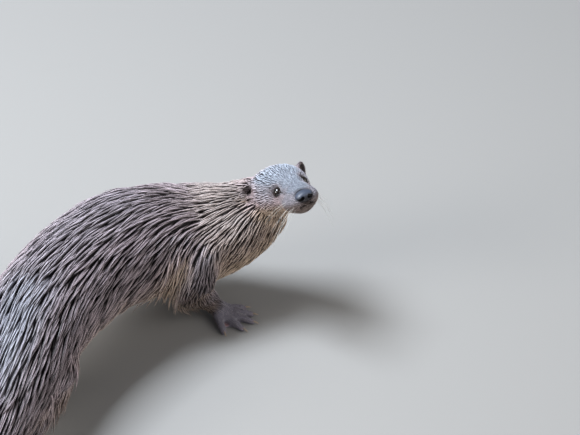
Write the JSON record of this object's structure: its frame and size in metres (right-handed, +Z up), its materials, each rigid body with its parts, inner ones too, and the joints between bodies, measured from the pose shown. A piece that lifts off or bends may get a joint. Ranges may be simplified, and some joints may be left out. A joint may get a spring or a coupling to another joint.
{
  "type": "eurasian otter model",
  "caption": "Life-size still model of a wet otter on all fours, its long body bent in a curve, its tail laid on the floor and its head turned over one shoulder.",
  "frame": {"origin": "middle of the bounding box in plan, at the level of the soles", "axes": "+X from the tail end towards the head, along the longest extent; +Y across it, to the left of that direction; +Z up"},
  "size_m": [1.0372, 0.2984, 0.2419],
  "materials": {
    "coat": "wet guard hair, grey-brown, clumped in glossy locks",
    "foot_skin": "webbed foot under short thin hair, satin",
    "nose_skin": "bare damp nose pad, satin",
    "eye": "dark brown, wet and glossy",
    "claw": "pale horn, satin"
  },
  "bodies": {
    "root": {"chest": "coat", "claw_front_left_1": "claw", "claw_front_left_2": "claw", "claw_front_left_3": "claw", "claw_front_left_4": "claw", "claw_front_left_5": "claw", "claw_front_right_1": "claw", "claw_front_right_2": "claw", "claw_front_right_3": "claw", "claw_front_right_4": "claw", "claw_front_right_5": "claw", "claw_hind_left_1": "claw", "claw_hind_left_2": "claw", "claw_hind_left_3": "claw", "claw_hind_left_4": "claw", "claw_hind_left_5": "claw", "claw_hind_right_1": "claw", "claw_hind_right_2": "claw", "claw_hind_right_3": "claw", "claw_hind_right_4": "claw", "claw_hind_right_5": "claw", "ear_left": "coat", "ear_right": "coat", "eye_left": "eye", "eye_right": "eye", "foot_front_left": "foot_skin", "foot_front_right": "foot_skin", "foot_hind_left": "foot_skin", "foot_hind_right": "foot_skin", "head": "coat", "leg_front_left_lower": "coat", "leg_front_left_upper": "coat", "leg_front_right_lower": "coat", "leg_front_right_upper": "coat", "leg_hind_left_lower": "coat", "leg_hind_left_upper": "coat", "leg_hind_right_lower": "coat", "leg_hind_right_upper": "coat", "loin": "coat", "neck": "coat", "nose": "nose_skin", "rump": "coat", "tail_base": "coat", "tail_middle": "coat", "tail_tip": "coat"}
  },
  "joints": []
}
